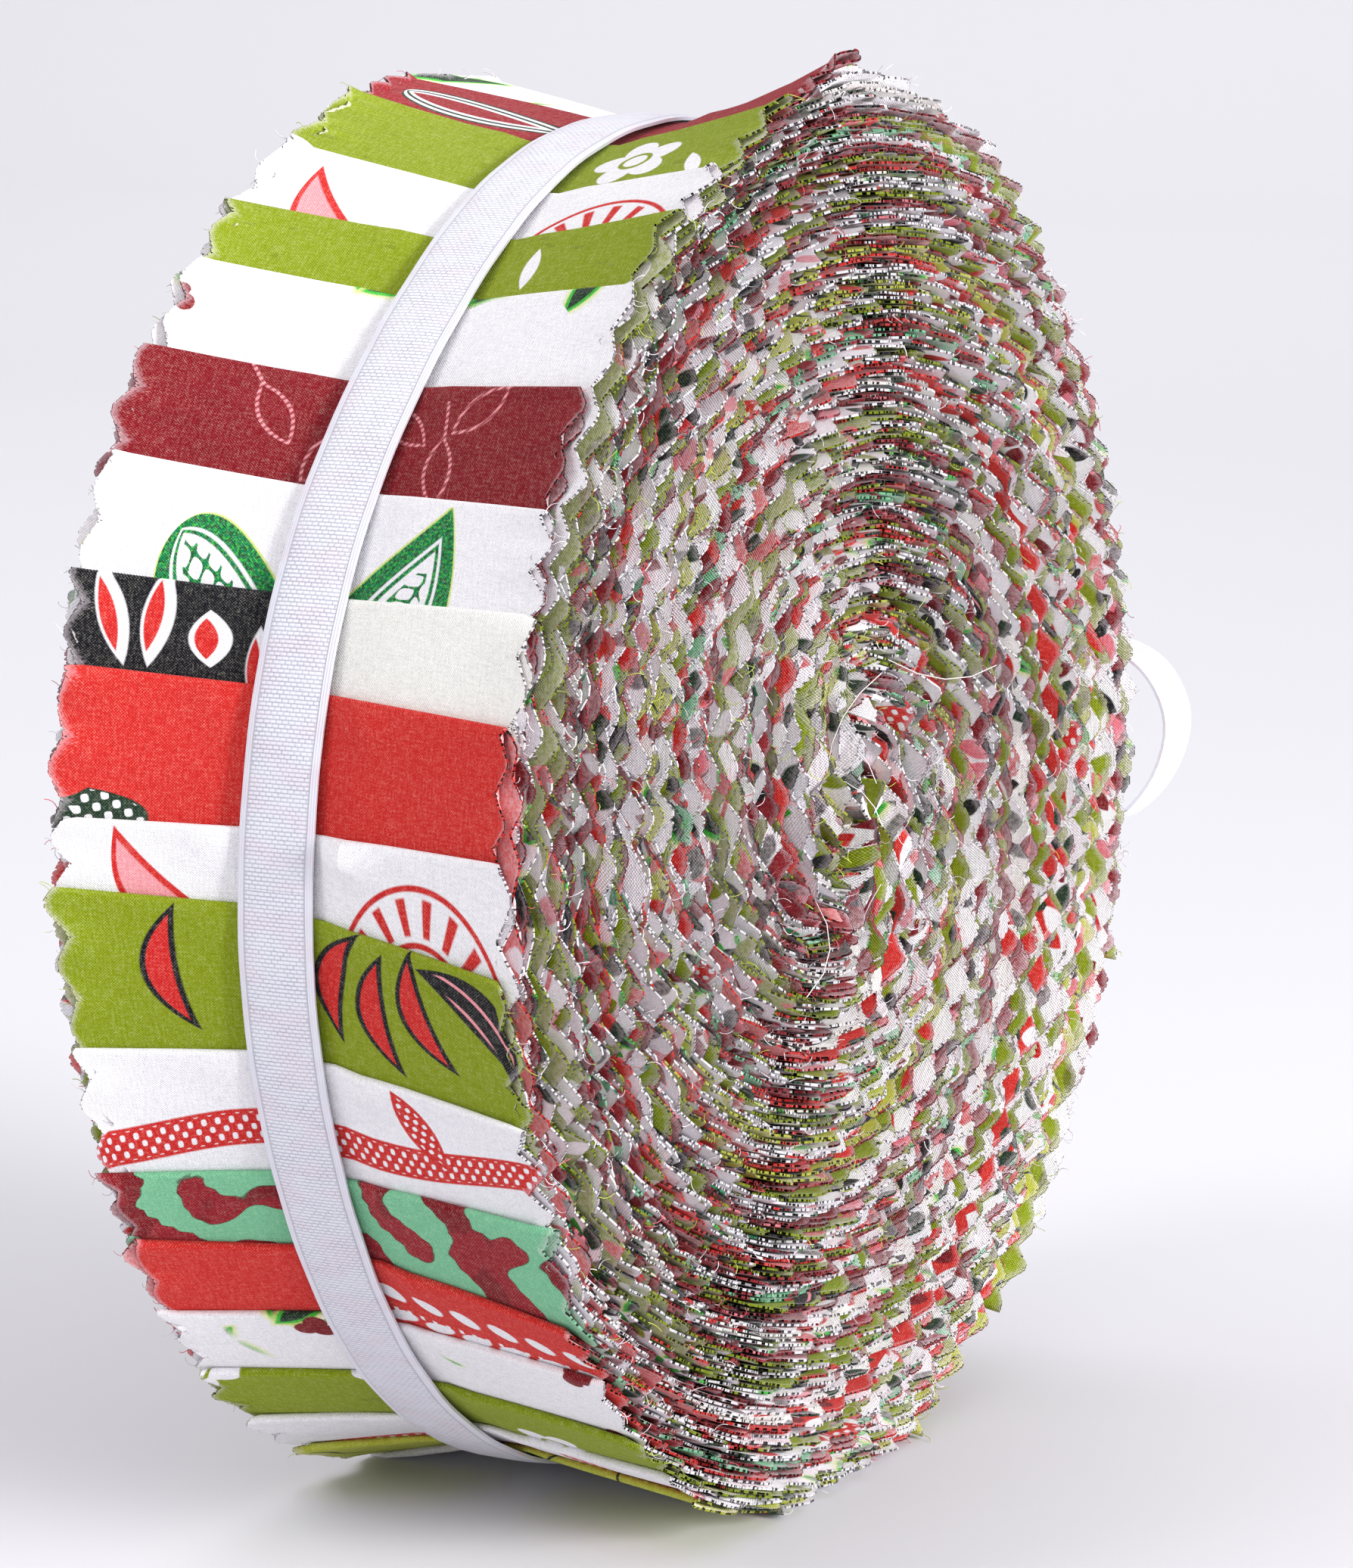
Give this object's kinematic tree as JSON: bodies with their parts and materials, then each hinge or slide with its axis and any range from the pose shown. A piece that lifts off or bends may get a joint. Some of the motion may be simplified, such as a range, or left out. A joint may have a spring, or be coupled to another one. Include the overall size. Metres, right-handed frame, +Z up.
{
  "type": "fabric strip roll",
  "caption": "Roll of folded fabric strips with pinked edges, standing on its rim and tied round the middle with a woven ribbon and a bow.",
  "frame": {"origin": "centre of the object's box at the surface that the roll stands on", "axes": "+X along the roll's axis, towards the pinked face that the picture shows; -Y towards the front of the rim; +Y towards the bow; +Z up"},
  "size_m": [0.0714, 0.1968, 0.1852],
  "materials": {
    "printed_cotton": "plain-woven quilting cotton in white, lime, red, black and green prints, dull",
    "woven_ribbon": "white ribbon with a basket-like weave and a soft sheen"
  },
  "bodies": {
    "root": {"strip_roll": "printed_cotton", "ribbon": "woven_ribbon"}
  },
  "joints": []
}
